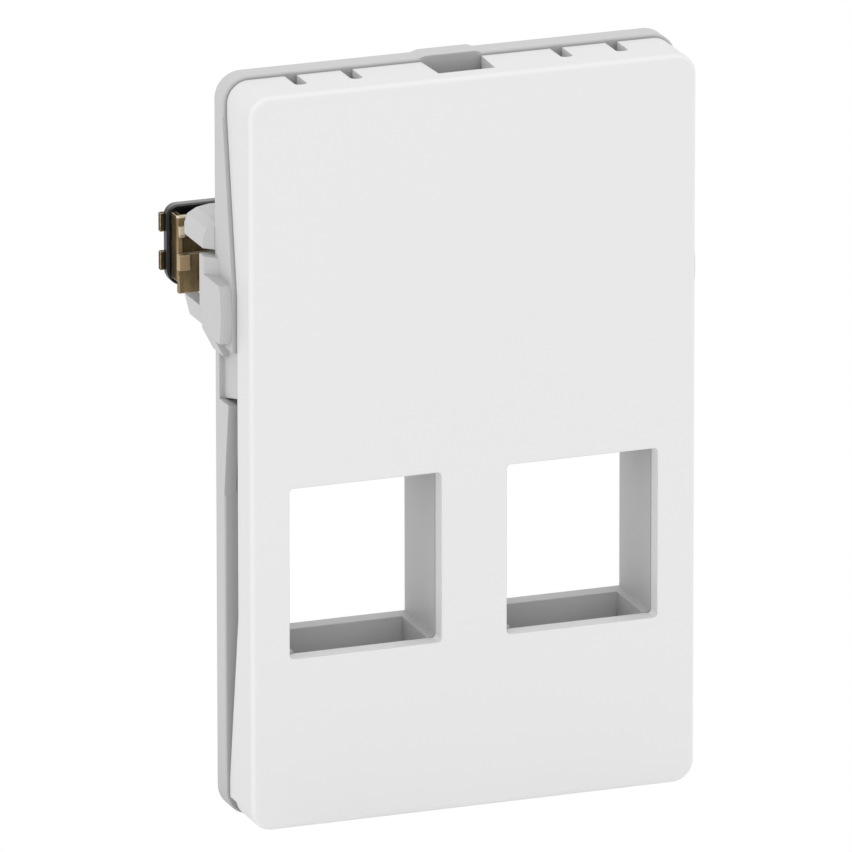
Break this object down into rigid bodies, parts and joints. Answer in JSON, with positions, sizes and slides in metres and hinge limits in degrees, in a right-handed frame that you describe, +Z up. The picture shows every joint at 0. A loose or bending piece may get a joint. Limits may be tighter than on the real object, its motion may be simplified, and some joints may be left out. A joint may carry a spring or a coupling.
{
  "type": "keystone faceplate",
  "caption": "Slim snap-in faceplate insert for two keystone jacks: a white lift-off cover on a moulded frame with sprung bronze side claws.",
  "frame": {"origin": "centre of the flange's rear face, which seats on the wall frame", "axes": "+X to the right seen from the front, +Y to the back through the wall, +Z up; the cover faces -Y"},
  "size_m": [0.0482, 0.0198, 0.0722],
  "materials": {
    "cover_plastic": "satin white",
    "frame_plastic": "satin light grey-white",
    "bronze_sheet": "dull rolled spring bronze",
    "black_steel": "blackened"
  },
  "bodies": {
    "frame": {"base_frame": "frame_plastic"},
    "cover": {"front_cover": "cover_plastic"},
    "left_clip": {"left_claw": "bronze_sheet", "left_claw_plate": "black_steel"},
    "right_clip": {"right_claw": "bronze_sheet", "right_claw_plate": "black_steel"}
  },
  "joints": [
    {"name": "cover_off", "type": "slide", "parent": "frame", "child": "cover", "axis": [0, -1, 0], "range_m": [0, 0.02]},
    {"name": "left_claw_spring", "type": "hinge", "parent": "frame", "child": "left_clip", "pos_m": [-0.0175, 0.0009, 0.0165], "axis": [0, 0, -1], "range_deg": [0, 5], "stiffness_Nm_per_rad": 0.2},
    {"name": "right_claw_spring", "type": "hinge", "parent": "frame", "child": "right_clip", "pos_m": [0.0175, 0.0009, 0.0165], "axis": [0, 0, 1], "range_deg": [0, 5], "stiffness_Nm_per_rad": 0.2}
  ]
}
